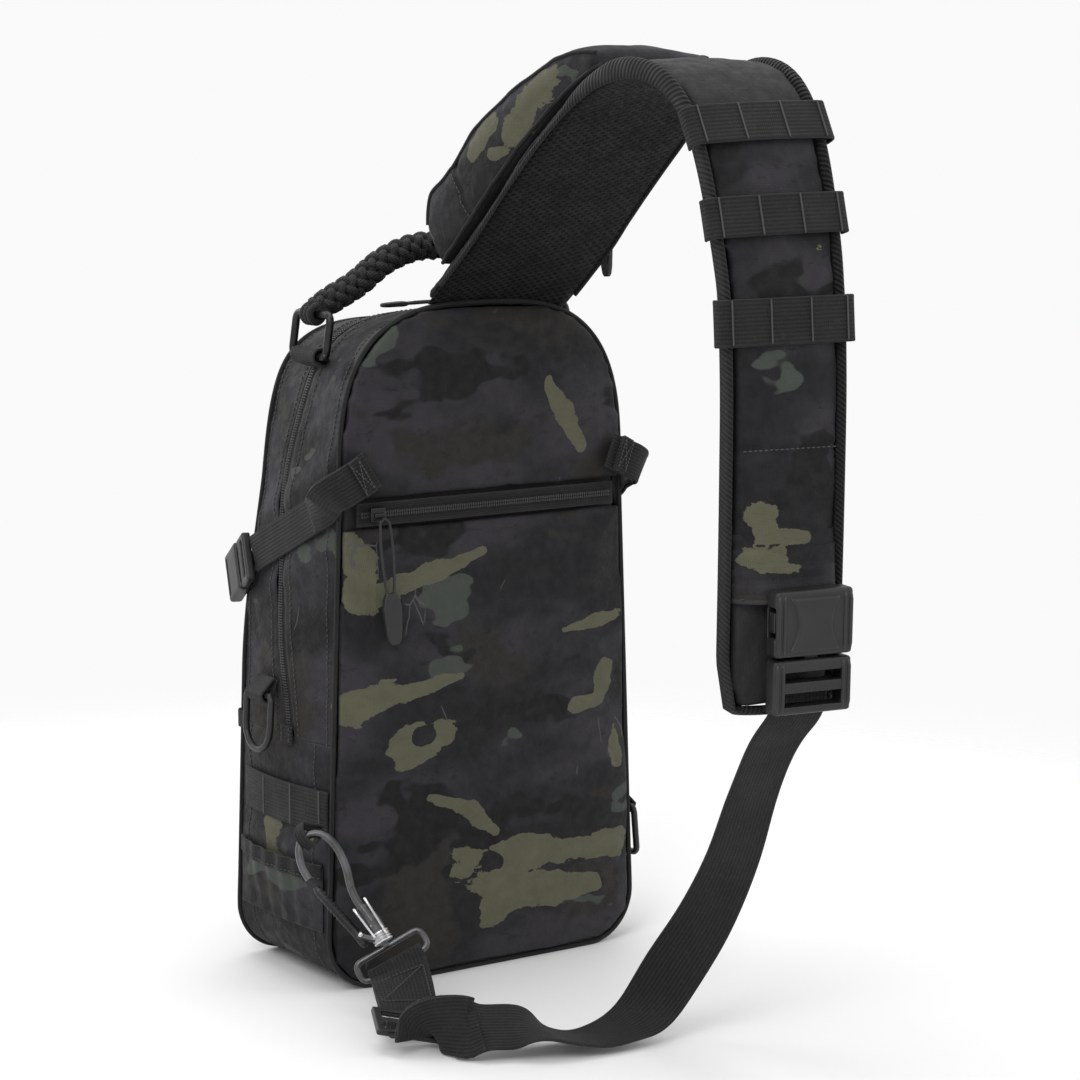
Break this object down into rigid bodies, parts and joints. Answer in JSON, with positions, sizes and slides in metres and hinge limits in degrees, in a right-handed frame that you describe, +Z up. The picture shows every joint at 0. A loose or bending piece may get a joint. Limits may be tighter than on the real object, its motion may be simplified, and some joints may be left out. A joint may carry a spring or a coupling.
{
  "type": "sling bag",
  "caption": "Dome-topped sling bag with an arched padded shoulder strap, carry handle, compression straps, zipped pockets and a webbing tail with a snap hook.",
  "frame": {"origin": "middle of the underside of the base, on the floor", "axes": "+Z up; -Y is the wearer's side, where the shoulder strap arches out; +Y is the side with the pockets; -X is the side with the snap hook"},
  "size_m": [0.3032, 0.4758, 0.6163],
  "materials": {
    "camo_fabric": "dark camouflage nylon, matt",
    "webbing": "black ribbed webbing",
    "spacer_mesh": "black open spacer mesh",
    "zip_tape": "black zip tape and coil",
    "braided_cord": "black braided cord",
    "moulded_plastic": "black moulded nylon",
    "dark_metal": "black coated metal, satin"
  },
  "bodies": {
    "bag": {"back_foam": "spacer_mesh", "back_panel": "camo_fabric", "back_zip_tape": "zip_tape", "base_panel": "webbing", "buckle_female": "moulded_plastic", "buckle_male": "moulded_plastic", "comp_strap_left": "webbing", "comp_strap_right": "webbing", "front_panel_lower": "camo_fabric", "handle_loop_left": "webbing", "handle_loop_right": "webbing", "hook_anchor": "webbing", "hook_eye": "dark_metal", "hook_tab": "webbing", "lower_gusset": "camo_fabric", "lower_pocket": "camo_fabric", "lower_pocket_zip_tape": "zip_tape", "lower_webbing": "webbing", "main_zip_tape_rear": "zip_tape", "pad_band_1": "webbing", "pad_band_2": "webbing", "pad_band_3": "webbing", "pad_binding": "webbing", "pad_mesh": "spacer_mesh", "rear_gusset": "camo_fabric", "shoulder_pad": "camo_fabric", "side_band_left": "webbing", "side_pocket": "camo_fabric", "side_ring_loop_right": "webbing", "strap_pocket": "camo_fabric", "tri_glide": "moulded_plastic"},
    "zip_slider_main": {"main_zip_slider": "dark_metal"},
    "zip_pull_main": {"main_zip_pull": "moulded_plastic"},
    "zip_slider_back": {"back_zip_slider": "dark_metal"},
    "zip_pull_back": {"back_zip_pull": "moulded_plastic"},
    "zip_slider_lower": {"lower_pocket_slider": "dark_metal"},
    "zip_slider_upper": {"upper_pocket_slider": "dark_metal"},
    "zip_slider_strap": {"strap_pocket_slider": "dark_metal"},
    "zip_pull_strap": {"strap_pocket_pull": "moulded_plastic"},
    "ring_left": {"d_ring_left": "moulded_plastic"},
    "ring_right": {"side_ring_right": "moulded_plastic"},
    "handle": {"carry_handle": "braided_cord", "handle_ring_left": "dark_metal", "handle_ring_right": "dark_metal"},
    "hook": {"hook_body": "dark_metal"},
    "gate": {"hook_gate": "dark_metal"},
    "arm_left": {"buckle_arm_left": "moulded_plastic"},
    "arm_right": {"buckle_arm_right": "moulded_plastic"},
    "lid": {"lid_gusset": "camo_fabric", "front_panel_upper": "camo_fabric", "main_zip_tape_lid": "zip_tape", "upper_pocket": "camo_fabric", "upper_pocket_zip_tape": "zip_tape", "comp_male_left": "moulded_plastic", "comp_male_right": "moulded_plastic", "comp_female_left": "moulded_plastic", "comp_female_right": "moulded_plastic", "comp_tab_left": "webbing", "comp_tab_right": "webbing", "d_ring_loop_left": "webbing"}
  },
  "joints": [
    {"name": "lid_open", "type": "hinge", "parent": "bag", "child": "lid", "pos_m": [0, 0.0632, 0.1653], "axis": [-1, 0, 0], "range_deg": [0, 18], "deforming": ["comp_strap_left", "comp_strap_right"]},
    {"name": "main_zip_run", "type": "hinge", "parent": "bag", "child": "zip_slider_main", "pos_m": [0, 0.0053, 0.199], "axis": [0, 1, 0], "range_deg": [-9, 12]},
    {"name": "main_pull_swing", "type": "hinge", "parent": "zip_slider_main", "child": "zip_pull_main", "pos_m": [0.0021, 0.0053, 0.4463], "axis": [0, 1, 0], "range_deg": [0, 25]},
    {"name": "back_zip_run", "type": "slide", "parent": "bag", "child": "zip_slider_back", "axis": [1, 0, 0], "range_m": [0, 0.176]},
    {"name": "back_pull_swing", "type": "hinge", "parent": "zip_slider_back", "child": "zip_pull_back", "pos_m": [-0.0855, -0.0728, 0.3115], "axis": [-1, 0, 0], "range_deg": [0, 48]},
    {"name": "lower_pocket_zip_run", "type": "slide", "parent": "bag", "child": "zip_slider_lower", "axis": [1, 0, 0], "range_m": [0, 0.124]},
    {"name": "upper_pocket_zip_run", "type": "slide", "parent": "lid", "child": "zip_slider_upper", "axis": [1, 0, 0], "range_m": [0, 0.08]},
    {"name": "strap_pocket_zip_run", "type": "slide", "parent": "bag", "child": "zip_slider_strap", "axis": [0.052, -0.7475, 0.6622], "range_m": [0, 0.04]},
    {"name": "strap_pull_swing", "type": "hinge", "parent": "zip_slider_strap", "child": "zip_pull_strap", "pos_m": [0.08009, -0.08622, 0.50878], "axis": [0, -1, 0], "range_deg": [0, 45]},
    {"name": "ring_left_swing", "type": "hinge", "parent": "lid", "child": "ring_left", "pos_m": [-0.13069, 0.0135, 0.1905], "axis": [0, 1, 0], "range_deg": [0, 90]},
    {"name": "ring_right_swing", "type": "hinge", "parent": "bag", "child": "ring_right", "pos_m": [0.13312, -0.034, 0.09], "axis": [0, -1, 0], "range_deg": [0, 90]},
    {"name": "handle_swing", "type": "hinge", "parent": "bag", "child": "handle", "pos_m": [0, 0, 0.415], "axis": [1, 0, 0], "range_deg": [-12, 12], "deforming": ["handle_loop_left", "handle_loop_right"]},
    {"name": "hook_swivel", "type": "hinge", "parent": "bag", "child": "hook", "pos_m": [-0.1115, -0.123, 0.036], "axis": [-0.2494, 0.53, 0.8105], "range_deg": [-15, 15], "deforming": ["hook_anchor"]},
    {"name": "gate_press", "type": "hinge", "parent": "hook", "child": "gate", "pos_m": [-0.12631, -0.10584, 0.05161], "axis": [0.5368, 0.7723, -0.3398], "range_deg": [0, 14], "stiffness_Nm_per_rad": 0.05},
    {"name": "arm_left_squeeze", "type": "hinge", "parent": "bag", "child": "arm_left", "pos_m": [0.00759, -0.36658, 0.25845], "axis": [-0.1391, -0.9901, -0.0207], "range_deg": [0, 7], "stiffness_Nm_per_rad": 0.5},
    {"name": "arm_right_squeeze", "type": "hinge", "parent": "bag", "child": "arm_right", "pos_m": [0.03888, -0.37097, 0.25834], "axis": [0.1391, 0.9901, 0.0207], "range_deg": [0, 7], "stiffness_Nm_per_rad": 0.5}
  ]
}
